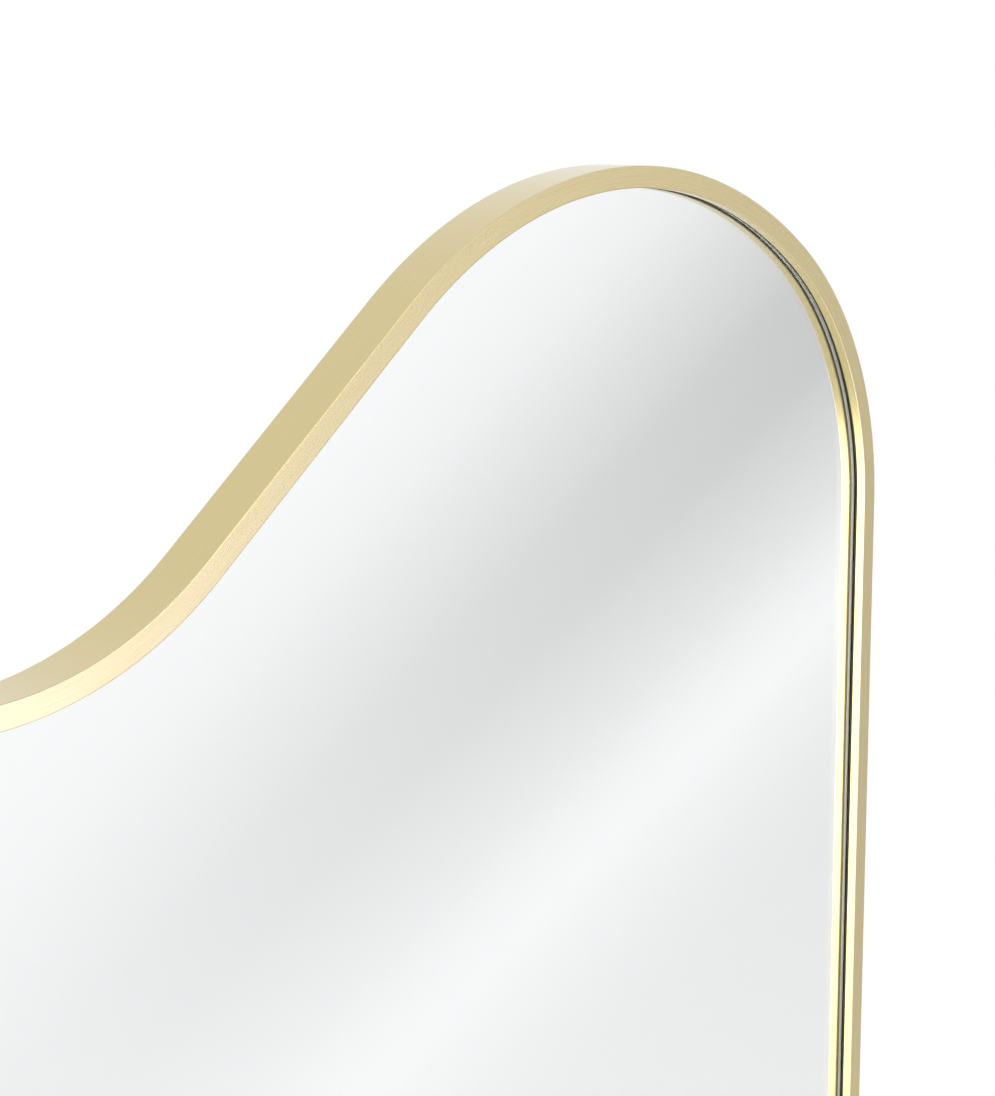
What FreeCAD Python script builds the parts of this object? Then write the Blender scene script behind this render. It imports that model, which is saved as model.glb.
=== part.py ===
import FreeCAD, Part
import math
import os
import Sketcher

# Irregular shaped wall mirror in a bent metal frame, in millimetres.
# X runs to the right, Z up and Y from the mirror's face towards the wall.
# The origin lies on the wall, behind the middle of the outline.
# Depths are counted from the front face of the frame towards the wall.
# Insets are counted from the outer edge of the frame towards the middle.

VECTOR = FreeCAD.Vector
ROTATION = FreeCAD.Rotation
OUT_OF_FACE = ROTATION(VECTOR(1, 0, 0), 90)
INTO_WALL = ROTATION(VECTOR(1, 0, 0), -90)

DRIVING = {
    # outline of the frame: a tall crown, a slope, a valley and a low shoulder, twice
    "overall_width": 800.0,
    "overall_height": 1000.0,
    "corner_radius": 178.0,
    "corner_turn": 55.5,
    "crown_radius": 275.0,
    "slope_angle": 37.5,
    "valley_radius": 198.0,
    "shoulder_radius": 150.0,
    # section of the frame profile
    "frame_depth": 26.0,
    "face_width": 11.0,
    "face_thickness": 1.6,
    "wall_thickness": 1.6,
    "inner_wall_thickness": 1.4,
    "ledge_thickness": 1.4,
    "lip_width": 5.0,
    "lip_thickness": 1.5,
    # glass and back
    "glass_recess": 6.0,
    "glass_thickness": 4.0,
    "glass_passing_room": 0.4,
    "tape_thickness": 0.5,
    "tape_setback": 0.6,
    "foam_thickness": 2.0,
    "foam_width": 22.0,
    "foam_setback": 4.0,
    "board_thickness": 4.0,
    # blocks and clips around the edge
    "block_length": 30.0,
    "block_clearance": 0.2,
    "clip_width": 10.0,
    "clip_thickness": 0.6,
    "clip_bend": 30.0,
    "clip_clearance": 0.05,
    "clip_side_room": 0.4,
    # the joint of the profile
    "butt_gap": 0.2,
    "key_length": 80.0,
    "key_clearance": 0.1,
    "key_screw_radius": 1.5,
    "key_screw_setback": 15.0,
    "key_screw_spacing": 20.0,
    "plate_length": 50.0,
    "plate_thickness": 2.0,
    "plate_clearance": 0.2,
    "plate_screw_setback": 8.0,
    "plate_screw_spacing": 10.0,
    "plate_rail_gap": 5.0,
    # cross rails
    "rail_width": 40.0,
    "rail_thickness": 2.5,
    "rail_end_clearance": 0.3,
    "rail_end_margin": 6.5,
    "rail_step_inset": 14.0,
    "rail_step_run": 8.0,
    "rail_screw_spacing": 26.0,
    "rail_pad_thickness": 2.5,
    "rail_pad_size": 30.0,
    "rail_pad_spacing": 180.0,
    # small lip screws
    "lip_screw_radius": 1.5,
    "lip_screw_head_radius": 2.2,
    "lip_screw_head_height": 1.2,
    "lip_screw_grip": 1.0,
    # hangers
    "ring_wire_radius": 1.5,
    "ring_bow_radius": 12.0,
    "ring_corner_radius": 3.0,
    "ring_clearance": 0.08,
    "ring_spacing": 500.0,
    "side_ring_inset": 60.0,
    "strap_width": 15.0,
    "strap_thickness": 1.0,
    "strap_length": 35.0,
    "strap_screw_offset": 21.0,
    "strap_screw_spacing": 9.0,
    "strap_screw_radius": 1.9,
    "strap_screw_head_radius": 3.4,
    "strap_screw_head_height": 2.2,
    "screw_clearance": 0.05,
    "socket_radius_share": 0.5,
    "socket_depth": 0.8,
    # wall bumpers
    "bumper_radius": 4.6,
    "bumper_thickness": 1.5,
    "bumper_inset": 8.2,
}

DERIVED = {
    "front": "=-(frame_depth + bumper_thickness)",
    "ledge_rear": "=glass_recess - tape_thickness",
    "ledge_front": "=ledge_rear - ledge_thickness",
    "chamber_inner": "=face_width - inner_wall_thickness",
    "lip_inner": "=wall_thickness + lip_width",
    "lip_rear": "=frame_depth - rail_thickness",
    "lip_front": "=lip_rear - lip_thickness",
    "glass_inset": "=lip_inner + glass_passing_room",
    "glass_rear": "=glass_recess + glass_thickness",
    "foam_rear": "=glass_rear + foam_thickness",
    "board_rear": "=foam_rear + board_thickness",
    "rail_front": "=board_rear + rail_pad_thickness",
    "rail_rear": "=rail_front + rail_thickness",
    "eye_bore_radius": "=ring_wire_radius + ring_clearance",
    "eye_radius": "=eye_bore_radius + strap_thickness",
    "ring_depth": "=rail_rear + eye_radius",
    "strap_rear": "=rail_rear + 2 * strap_thickness",
    "rail_end": "=overall_width / 2 - wall_thickness - rail_end_clearance",
    "rail_outer_bend": "=overall_width / 2 - rail_step_inset",
    "rail_inner_bend": "=rail_outer_bend - rail_step_run",
    "rail_lap": "=rail_thickness * tan(atan((lip_rear - rail_front) / rail_step_run) / 2)",
    "clip_height": "=lip_front - board_rear - 2 * clip_clearance",
    "clip_radius": "=(clip_height - clip_thickness / 2 * (1 + cos(clip_bend * 1deg)))"
                   " / (1 - cos(clip_bend * 1deg))",
}

OVERCUT = 1.0
MIDDLE_CLIP_SHARE = 0.42
ARC_CLIP_SHARES = {"corner": (0.5,), "crown": (0.25, 0.75), "valley": (0.5,), "shoulder": (0.35, 0.75)}

doc = FreeCAD.newDocument("irregular_mirror")
sheet = doc.addObject("Spreadsheet::Sheet", "Sizes")
for row, (alias, content) in enumerate({**DRIVING, **DERIVED}.items(), start=1):
    sheet.set("A%d" % row, alias)
    sheet.set("B%d" % row, str(content))
    sheet.setAlias("B%d" % row, alias)
doc.recompute()
mm = {alias: float(sheet.get(alias)) for alias in {**DRIVING, **DERIVED}}


# ---------------------------------------------------------------- outline of the frame

def polar(centre, radius, angle):
    """Point at a radius and an angle in degrees from a centre, in the plane of the face."""
    turn = math.radians(angle)
    return (centre[0] + radius * math.cos(turn), centre[1] + radius * math.sin(turn))


def outline_pieces():
    """Lines and arcs of the upper half, from the right side over the crown to the left side.

    Each arc touches its neighbours, and the slope takes up the width that the arcs leave.
    An arc is (centre, radius, first angle, last angle), anticlockwise.
    """
    corner_r, crown_r = mm["corner_radius"], mm["crown_radius"]
    valley_r, shoulder_r = mm["valley_radius"], mm["shoulder_radius"]
    half_width, half_height = mm["overall_width"] / 2, mm["overall_height"] / 2
    turn, slope = mm["corner_turn"], mm["slope_angle"]

    crown_z = half_height - crown_r
    corner = (half_width - corner_r, crown_z + (crown_r - corner_r) * math.sin(math.radians(turn)))
    crown = polar(corner, corner_r - crown_r, turn)
    slope_top = polar(crown, crown_r, 90 + slope)
    valley_x = shoulder_r - half_width
    slope_end_x = valley_x + valley_r * math.sin(math.radians(slope))
    slope_end_z = slope_top[1] - (slope_top[0] - slope_end_x) * math.tan(math.radians(slope))
    slope_end = (slope_end_x, slope_end_z)
    valley = (valley_x, slope_end_z + valley_r * math.cos(math.radians(slope)))
    shoulder = (valley_x, valley[1] - valley_r - shoulder_r)
    return {
        "side": ((half_width, -shoulder[1]), (half_width, corner[1])),
        "corner": (corner, corner_r, 0.0, turn),
        "crown": (crown, crown_r, turn, 90.0 + slope),
        "slope": (slope_top, slope_end),
        "valley": (valley, valley_r, -90.0, slope - 90.0),
        "shoulder": (shoulder, shoulder_r, 90.0, 180.0),
    }


PIECES = outline_pieces()
ORDER = ("side", "corner", "crown", "slope", "valley", "shoulder")
RADII = {name: name + "_radius" for name in ("corner", "crown", "valley", "shoulder")}


def add_driven(sketch, constraint, expression):
    """Adds a constraint and binds its value to the sheet."""
    index = sketch.addConstraint(constraint)
    sketch.setExpression("Constraints[%d]" % index, expression)


def draw_outline():
    """The closed outline: the upper half and the same half turned round by 180 degrees."""
    sketch = doc.addObject("Sketcher::SketchObject", "frame_outline")
    sketch.Placement = FreeCAD.Placement(VECTOR(0, mm["front"], 0), OUT_OF_FACE)
    sketch.setExpression("Placement.Base.y", "Sizes.front")
    ends = []
    for half in (1, -1):
        at = {}
        for name in ORDER:
            piece = PIECES[name]
            if name in RADII:
                (x, z), radius, first, last = piece
                if half < 0:
                    first, last = first + 180, last + 180
                circle = Part.Circle(VECTOR(half * x, half * z, 0), VECTOR(0, 0, 1), radius)
                arc = Part.ArcOfCircle(circle, math.radians(first), math.radians(last))
                at[name] = sketch.addGeometry(arc)
                add_driven(sketch, Sketcher.Constraint("Radius", at[name], radius), "Sizes." + RADII[name])
            else:
                (x1, z1), (x2, z2) = piece
                line = Part.LineSegment(VECTOR(half * x1, half * z1, 0), VECTOR(half * x2, half * z2, 0))
                at[name] = sketch.addGeometry(line)
            # the valley bends the other way, so the path leaves it at its first point
            ends.append((at[name], 2, 1) if name == "valley" else (at[name], 1, 2))
        constrain_half(sketch, at, half)
    for (before, _, leave), (after, enter, _) in zip(ends, ends[1:] + ends[:1]):
        sketch.addConstraint(Sketcher.Constraint("Tangent", before, leave, after, enter))
    return sketch


def constrain_half(sketch, at, half):
    """Ties one half of the outline to the overall sizes, measured from the middle."""
    half_width, half_height = mm["overall_width"] / 2, mm["overall_height"] / 2
    sketch.addConstraint(Sketcher.Constraint("Vertical", at["side"]))
    sketch.addConstraint(Sketcher.Constraint("Vertical", at["valley"], 3, at["shoulder"], 3))
    turn = Sketcher.Constraint("Angle", at["corner"], math.radians(mm["corner_turn"]))
    add_driven(sketch, turn, "Sizes.corner_turn")
    heading = mm["slope_angle"] - 180 if half > 0 else mm["slope_angle"]
    slope = Sketcher.Constraint("Angle", at["slope"], math.radians(heading))
    add_driven(sketch, slope, "Sizes.slope_angle - 180" if half > 0 else "Sizes.slope_angle")
    origin, side, crown = (-1, 1), (at["side"], 1), (at["crown"], 3)
    across = origin + side if half > 0 else side + origin
    upright = origin + crown if half > 0 else crown + origin
    add_driven(sketch, Sketcher.Constraint("DistanceX", *across, half_width), "Sizes.overall_width / 2")
    add_driven(sketch, Sketcher.Constraint("DistanceY", *upright, half_height - mm["crown_radius"]),
               "Sizes.overall_height / 2 - Sizes.crown_radius")


def station(name, share, inset, half=1):
    """Point (x, z) on a piece of the outline at an inset, and the heading of the edge there in degrees."""
    piece = PIECES[name]
    if name in RADII:
        centre, radius, first, last = piece
        angle = first + share * (last - first)
        bulge = -1 if name == "valley" else 1
        x, z = polar(centre, radius - bulge * inset, angle)
        heading = angle + bulge * 90
    else:
        (x1, z1), (x2, z2) = piece
        heading = math.degrees(math.atan2(z2 - z1, x2 - x1))
        x, z = polar((x1 + share * (x2 - x1), z1 + share * (z2 - z1)), inset, heading + 90)
    return half * x, half * z, heading if half > 0 else heading + 180


def side_clip_shares():
    """The two clips of a straight side.

    One stands between the rails, at a share of their height, and one halfway from the end of the
    joint plate to the end of the straight.
    """
    (_, low), (_, high) = PIECES["side"]
    plate_end = mm["plate_length"] / 2 - joint_height()
    heights = (MIDDLE_CLIP_SHARE * rail_height(), (plate_end + high) / 2)
    return [(height - low) / (high - low) for height in heights]


def edge_stations():
    """Places round the outline that carry a block and a clip: (piece, share, half)."""
    for half in (1, -1):
        for share in side_clip_shares():
            yield "side", share, half
        yield "slope", 0.5, half
        for name, shares in ARC_CLIP_SHARES.items():
            for share in shares:
                yield name, share, half


# ---------------------------------------------------------------- ways of making a solid

def place(obj, x, depth, z, rotation=ROTATION()):
    """Sets an object at a depth behind the front face."""
    obj.Placement = FreeCAD.Placement(VECTOR(x, mm["front"] + depth, z), rotation)
    return obj


def plate(outline, name, inset, start, stop):
    """A flat sheet with the frame's outline, drawn in by an inset, between two depths."""
    edge = outline
    if inset != "0":
        edge = doc.addObject("Part::Offset2D", name + "_edge")
        edge.Source = outline
        edge.setExpression("Value", "-(%s)" % inset)
    solid = doc.addObject("Part::Extrusion", name)
    solid.Base = edge
    solid.DirMode = "Custom"
    solid.Dir = VECTOR(0, 1, 0)
    solid.Solid = True
    solid.setExpression("LengthFwd", stop)
    solid.setExpression("LengthRev", "-(%s)" % start)
    return solid


def cut(name, base, tools):
    """The base less every tool."""
    tool = tools[0] if len(tools) == 1 else join(name + "_tools", tools)
    result = doc.addObject("Part::Cut", name)
    result.Base = base
    result.Tool = tool
    return result


def join(name, shapes):
    """All shapes as one object."""
    result = doc.addObject("Part::MultiFuse", name)
    result.Shapes = shapes
    return result


def ring(outline, name, outer, inner, start, stop):
    """A band that follows the outline between two insets and two depths."""
    outside = plate(outline, name + "_outside", outer, start, stop)
    inside = plate(outline, name + "_inside", inner,
                   "%s - %g" % (start, OVERCUT), "%s + %g" % (stop, OVERCUT))
    return cut(name, outside, [inside])


def drill(name, spots, radius, start, stop):
    """Round bars along Y at each (x, z) spot, between two depths given as expressions."""
    bars = []
    for number, (x, z) in enumerate(spots, start=1):
        bar = doc.addObject("Part::Cylinder", "%s_%d" % (name, number))
        bar.Placement = FreeCAD.Placement(VECTOR(x, 0, z), INTO_WALL)
        bar.setExpression("Radius", radius)
        bar.setExpression("Height", "%s - (%s)" % (stop, start))
        bar.setExpression("Placement.Base.y", "Sizes.front + %s" % start)
        bars.append(bar)
    return bars


def bar_box(name, width, thickness, length):
    """A rectangular bar: width along X, thickness along Y, length along Z."""
    box = doc.addObject("Part::Box", name)
    box.setExpression("Length", width)
    box.setExpression("Width", thickness)
    box.setExpression("Height", length)
    return box


def headed_screws(label, spots, kind, head_front, tip):
    """Screws with a low round head and a hexagon socket, all driven from the wall side."""
    radius, head = "Sizes.%s_radius" % kind, "Sizes.%s_head_radius" % kind
    head_rear = "%s + Sizes.%s_head_height" % (head_front, kind)
    shanks = drill(label + "_shank", spots, radius, tip, head_front)
    heads = drill(label + "_head", spots, head, head_front, head_rear)
    sockets = []
    for number, (x, z) in enumerate(spots, start=1):
        socket = doc.addObject("Part::Prism", "%s_socket_%d" % (label, number))
        socket.Polygon = 6
        socket.Placement = FreeCAD.Placement(VECTOR(x, 0, z), INTO_WALL)
        socket.setExpression("Circumradius", "%s * Sizes.socket_radius_share" % head)
        socket.setExpression("Height", "Sizes.socket_depth + %g" % OVERCUT)
        socket.setExpression("Placement.Base.y", "Sizes.front + %s - Sizes.socket_depth" % head_rear)
        sockets.append(socket)
    return cut(label, join(label + "_bodies", shanks + heads), sockets)


# ---------------------------------------------------------------- frame and its joint

def joint_height():
    """Height of the butt joint on the left side: its plate lies next below the lower rail."""
    rail_edge = -rail_height() - mm["rail_width"] / 2
    return rail_edge - mm["plate_rail_gap"] - mm["plate_length"] / 2


def joint_spots(inset, kind):
    """Four screw places along the left side, two on each side of the joint."""
    x = inset - mm["overall_width"] / 2
    first, spacing = mm[kind + "_screw_setback"], mm[kind + "_screw_spacing"]
    return [(x, joint_height() + side * (first + number * spacing))
            for side in (-1, 1) for number in range(2)]


def key_spots():
    """Grub screws stand halfway between the outer wall and the glass edge."""
    return joint_spots((mm["wall_thickness"] + mm["glass_inset"]) / 2, "key")


def plate_spots():
    """Plate screws stand in the middle of the lip."""
    return joint_spots(mm["wall_thickness"] + mm["lip_width"] / 2, "plate")


def rail_height():
    """Height of the upper rail's middle line: it clears the end of the straight left side."""
    return -PIECES["side"][0][1] - mm["rail_end_margin"] - mm["rail_width"] / 2


def rail_screw_spots():
    """Two screws at each end of each rail, through the rail into the lip."""
    x = mm["overall_width"] / 2 - mm["wall_thickness"] - mm["lip_width"] / 2
    return [(side * x, level * rail_height() + step * mm["rail_screw_spacing"] / 2)
            for level in (1, -1) for side in (-1, 1) for step in (-1, 1)]


def make_frame(outline):
    """The bent profile: face, outer wall, hollow front part with ledge, and rear lip."""
    blank = plate(outline, "profile_blank", "0", "0", "Sizes.frame_depth")
    window = plate(outline, "window", "Sizes.face_width", "-%g" % OVERCUT, "Sizes.ledge_rear")
    chamber = ring(outline, "chamber", "Sizes.wall_thickness", "Sizes.chamber_inner",
                   "Sizes.face_thickness", "Sizes.ledge_front")
    bay = plate(outline, "glass_bay", "Sizes.wall_thickness", "Sizes.ledge_rear", "Sizes.lip_front")
    throat = plate(outline, "lip_throat", "Sizes.lip_inner", "Sizes.lip_front", "Sizes.lip_rear")
    rear = plate(outline, "rail_bay", "Sizes.wall_thickness", "Sizes.lip_rear",
                 "Sizes.frame_depth + %g" % OVERCUT)
    gap = bar_box("butt_gap", "Sizes.face_width + %g" % (2 * OVERCUT),
                  "Sizes.frame_depth + %g" % (2 * OVERCUT), "Sizes.butt_gap")
    place(gap, -mm["overall_width"] / 2 - OVERCUT, -OVERCUT, joint_height() - mm["butt_gap"] / 2)
    hole = "Sizes.%s + Sizes.screw_clearance"
    key_holes = drill("key_hole", key_spots(), hole % "key_screw_radius",
                      "Sizes.ledge_front - %g" % (mm["ledge_thickness"] / 2),
                      "Sizes.ledge_rear + %g" % OVERCUT)
    lip_holes = drill("lip_hole", plate_spots() + rail_screw_spots(), hole % "lip_screw_radius",
                      "Sizes.lip_front - %g" % OVERCUT, "Sizes.lip_rear + %g" % OVERCUT)
    tools = [window, chamber, bay, throat, rear, gap] + key_holes + lip_holes
    return cut("frame_profile", blank, tools)


def make_joint():
    """Key in the hollow, plate under the lip, and the screws of both, across the butt joint."""
    left = -mm["overall_width"] / 2
    key = bar_box("joint_key_bar", "Sizes.chamber_inner - Sizes.wall_thickness - 2 * Sizes.key_clearance",
                  "Sizes.ledge_front - Sizes.face_thickness - 2 * Sizes.key_clearance", "Sizes.key_length")
    place(key, left + mm["wall_thickness"] + mm["key_clearance"],
          mm["face_thickness"] + mm["key_clearance"], joint_height() - mm["key_length"] / 2)
    hole = "Sizes.%s + Sizes.screw_clearance"
    bores = drill("key_bore", key_spots(), hole % "key_screw_radius", "0", "Sizes.ledge_rear")
    yield cut("joint_key", key, bores)

    tip = "Sizes.face_thickness + 2 * Sizes.key_clearance"
    pins = drill("key_screw", key_spots(), "Sizes.key_screw_radius", tip, "Sizes.ledge_rear")
    sockets = drill("key_socket", key_spots(), "Sizes.key_screw_radius * Sizes.socket_radius_share",
                    "Sizes.ledge_rear - Sizes.socket_depth", "Sizes.ledge_rear + %g" % OVERCUT)
    yield cut("joint_key_screws", join("key_pins", pins), sockets)

    bar = bar_box("joint_plate_bar", "Sizes.lip_width - 2 * Sizes.plate_clearance",
                  "Sizes.plate_thickness", "Sizes.plate_length")
    place(bar, left + mm["wall_thickness"] + mm["plate_clearance"],
          mm["lip_front"] - mm["plate_thickness"], joint_height() - mm["plate_length"] / 2)
    bores = drill("plate_bore", plate_spots(), hole % "lip_screw_radius", "0", "Sizes.frame_depth")
    yield cut("joint_plate", bar, bores)
    yield headed_screws("joint_plate_screws", plate_spots(), "lip_screw", "Sizes.lip_rear",
                        "Sizes.lip_front - Sizes.plate_thickness")


# ---------------------------------------------------------------- glass and back

def make_edge_blocks(outline):
    """Rubber blocks that centre the glass and the board, curved as the frame is curved."""
    band = ring(outline, "block_band", "Sizes.wall_thickness + Sizes.block_clearance",
                "Sizes.glass_inset - Sizes.block_clearance", "Sizes.glass_recess", "Sizes.board_rear")
    slices = []
    for number, (name, share, half) in enumerate(edge_stations(), start=1):
        x, z, heading = station(name, share, 0, half)
        window = bar_box("block_window_%d" % number, "Sizes.block_length", "Sizes.board_rear",
                         "2 * Sizes.face_width")
        turn = ROTATION(VECTOR(0, 1, 0), -heading)
        shift = turn.multVec(VECTOR(-mm["block_length"] / 2, 0, -mm["face_width"]))
        place(window, x + shift.x, mm["glass_recess"] / 2, z + shift.z, turn)
        slices.append(window)
    blocks = doc.addObject("Part::Common", "glass_edge_blocks")
    blocks.Base = band
    blocks.Tool = join("block_windows", slices)
    return blocks


def make_spring_clips():
    """Bowed steel strips between board and lip.

    A strip is an arc of the bend angle to each side of its crest. Its middle radius makes it as
    high as the space less the clearance.
    """
    bend = math.radians(mm["clip_bend"])
    outer, inner = (mm["clip_radius"] + side * mm["clip_thickness"] / 2 for side in (1, -1))

    body = doc.addObject("PartDesign::Body", "clip_pattern")
    sketch = body.newObject("Sketcher::SketchObject", "clip_side_view")
    sketch.AttachmentSupport = (origin_plane(body, "XY_Plane"), [""])
    sketch.MapMode = "FlatFace"
    start, stop = math.pi / 2 - bend, math.pi / 2 + bend
    centre = VECTOR(0, mm["clip_height"] - outer, 0)
    arcs = []
    for radius, side in ((outer, "+"), (inner, "-")):
        circle = Part.Circle(centre, VECTOR(0, 0, 1), radius)
        arcs.append(sketch.addGeometry(Part.ArcOfCircle(circle, start, stop)))
        add_driven(sketch, Sketcher.Constraint("Radius", arcs[-1], radius),
                   "Sizes.clip_radius %s Sizes.clip_thickness / 2" % side)
    for angle in (start, stop):
        out_end = centre + VECTOR(outer * math.cos(angle), outer * math.sin(angle), 0)
        in_end = centre + VECTOR(inner * math.cos(angle), inner * math.sin(angle), 0)
        sketch.addGeometry(Part.LineSegment(out_end, in_end))
    for point, line in ((1, 2), (2, 3)):
        sketch.addConstraint(Sketcher.Constraint("Coincident", arcs[0], point, line, 1))
        sketch.addConstraint(Sketcher.Constraint("Coincident", arcs[1], point, line, 2))
    pad = body.newObject("PartDesign::Pad", "clip_strip")
    pad.Profile = sketch
    pad.setExpression("Length", "Sizes.clip_width")
    doc.recompute()

    strips = []
    for name, share, half in edge_stations():
        room = 0.0
        if name in RADII and name != "valley":
            wall_radius = PIECES[name][1] - mm["wall_thickness"]
            half_chord = outer * math.sin(bend)
            room = wall_radius - math.sqrt(wall_radius ** 2 - half_chord ** 2)
        inset = mm["wall_thickness"] + mm["clip_side_room"] + room
        x, z, heading = station(name, share, inset, half)
        strip = body.Shape.copy()
        strip.Placement = FreeCAD.Placement(
            VECTOR(x, mm["front"] + mm["board_rear"] + mm["clip_clearance"], z),
            ROTATION(VECTOR(0, 1, 0), -heading))
        strips.append(strip)
    clips = doc.addObject("Part::Feature", "spring_clips")
    clips.Shape = Part.makeCompound(strips)
    return clips


def draw_polygon(sketch, corners):
    """A closed polygon whose corners are pairs of expressions, each bound to the sheet."""
    points = [VECTOR(*(sketch.evalExpression(value) for value in corner), 0) for corner in corners]
    lines = range(len(points))
    for line in lines:
        sketch.addGeometry(Part.LineSegment(points[line - 1], points[line]))
    for line in lines:
        sketch.addConstraint(Sketcher.Constraint("Coincident", line - 1 if line else lines[-1], 2, line, 1))
    for line, point, (x, y) in zip(lines, points, corners):
        add_driven(sketch, Sketcher.Constraint("DistanceX", -1, 1, line, 2, point.x), x)
        add_driven(sketch, Sketcher.Constraint("DistanceY", -1, 1, line, 2, point.y), y)


def origin_plane(body, role):
    """One of a body's own origin planes."""
    return next(plane for plane in body.Origin.OriginFeatures if plane.Role == role)


# ---------------------------------------------------------------- cross rails

def make_rail(label, level, strap_spots):
    """A flat bar stepped towards the board between its ends, which lie on the rear lip.

    The bends lap over by the bar's thickness times the tangent of half the bend, so that the bar
    is as thick on the step as beside it.
    """
    right = [
        ("rail_inner_bend", "rail_rear"),
        ("rail_outer_bend", "frame_depth"),
        ("rail_end", "frame_depth"),
        ("rail_end", "lip_rear"),
        ("rail_outer_bend + Sizes.rail_lap", "lip_rear"),
        ("rail_inner_bend + Sizes.rail_lap", "rail_front"),
    ]
    corners = [("Sizes." + x, "Sizes.front + Sizes." + depth) for x, depth in right]
    corners += [("-(%s)" % x, depth) for x, depth in corners[::-1]]

    body = doc.addObject("PartDesign::Body", label + "_bar")
    sketch = body.newObject("Sketcher::SketchObject", label + "_top_view")
    sketch.AttachmentSupport = (origin_plane(body, "XY_Plane"), [""])
    sketch.MapMode = "FlatFace"
    draw_polygon(sketch, corners)
    pad = body.newObject("PartDesign::Pad", label + "_strip")
    pad.Profile = sketch
    pad.setExpression("Length", "Sizes.rail_width")
    body.Placement.Base = VECTOR(0, 0, level * rail_height() - mm["rail_width"] / 2)

    end_spots = [spot for spot in rail_screw_spots() if spot[1] * level > 0]
    bores = drill(label + "_end_bore", end_spots, "Sizes.lip_screw_radius + Sizes.screw_clearance",
                  "Sizes.rail_front", "Sizes.frame_depth + %g" % OVERCUT)
    bores += drill(label + "_strap_bore", strap_spots, "Sizes.strap_screw_radius + Sizes.screw_clearance",
                   "Sizes.rail_front - %g" % OVERCUT, "Sizes.strap_rear")
    return cut(label, body, bores)


def make_rail_pads():
    """Foam pads that press the board forward from the rails."""
    pads = []
    for level in (1, -1):
        for step in (-1, 0, 1):
            pad = bar_box("rail_pad_%d" % (len(pads) + 1), "Sizes.rail_pad_size",
                          "Sizes.rail_pad_thickness", "Sizes.rail_pad_size")
            place(pad, step * mm["rail_pad_spacing"] - mm["rail_pad_size"] / 2, mm["board_rear"],
                  level * rail_height() - mm["rail_pad_size"] / 2)
            pads.append(pad)
    return join("rail_pads", pads)


def make_bumpers():
    """Rubber discs on the rail ends: their rear faces meet the wall."""
    x = mm["overall_width"] / 2 - mm["bumper_inset"]
    spots = [(side * x, level * rail_height()) for level in (1, -1) for side in (-1, 1)]
    return join("wall_bumpers", drill("bumper", spots, "Sizes.bumper_radius", "Sizes.frame_depth",
                                      "Sizes.frame_depth + Sizes.bumper_thickness"))


# ---------------------------------------------------------------- hangers

def hanger_places():
    """Each hanger's name, the middle of its ring's bar (x, z) and its turn about Y.

    At turn 0 the ring points up. The side hangers point left, for hanging the mirror sideways.
    """
    level, edge = rail_height(), mm["rail_width"] / 2
    side_x = mm["side_ring_inset"] - mm["overall_width"] / 2
    return [
        ("upper_left", -mm["ring_spacing"] / 2, level + edge, 0),
        ("upper_right", mm["ring_spacing"] / 2, level + edge, 0),
        ("side_upper", side_x, level, -90),
        ("side_lower", side_x, -level, -90),
    ]


def strap_spots(x, z, turn):
    """The two screw places of a strap."""
    rotation = ROTATION(VECTOR(0, 1, 0), turn)
    spots = []
    for number in range(2):
        reach = mm["strap_screw_offset"] + number * mm["strap_screw_spacing"]
        shift = rotation.multVec(VECTOR(0, 0, -reach))
        spots.append((x + shift.x, z + shift.z))
    return spots


def make_strap(name, x, z, turn):
    """A strip folded double round the ring's bar: an eye with a flat tail that has two holes."""
    label = name + "_strap"
    rotation = ROTATION(VECTOR(0, 1, 0), turn)
    along_bar = ROTATION(VECTOR(0, 1, 0), 90)
    eye = doc.addObject("Part::Cylinder", label + "_eye")
    eye.setExpression("Radius", "Sizes.eye_radius")
    bore = doc.addObject("Part::Cylinder", label + "_bore")
    bore.setExpression("Radius", "Sizes.eye_bore_radius")
    for barrel, spare in ((eye, 0.0), (bore, OVERCUT)):
        barrel.setExpression("Height", "Sizes.strap_width + %g" % (2 * spare))
        shift = rotation.multVec(VECTOR(-mm["strap_width"] / 2 - spare, 0, 0))
        place(barrel, x + shift.x, mm["ring_depth"], z + shift.z, rotation * along_bar)
    tail = bar_box(label + "_tail", "Sizes.strap_width", "2 * Sizes.strap_thickness", "Sizes.strap_length")
    shift = rotation.multVec(VECTOR(-mm["strap_width"] / 2, 0, -mm["strap_length"]))
    place(tail, x + shift.x, mm["rail_rear"], z + shift.z, rotation)
    holes = drill(label + "_hole", strap_spots(x, z, turn),
                  "Sizes.strap_screw_radius + Sizes.screw_clearance", "Sizes.rail_rear - %g" % OVERCUT,
                  "Sizes.strap_rear + %g" % OVERCUT)
    return cut(label, join(label + "_sheet", [eye, tail]), [bore] + holes)


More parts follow.
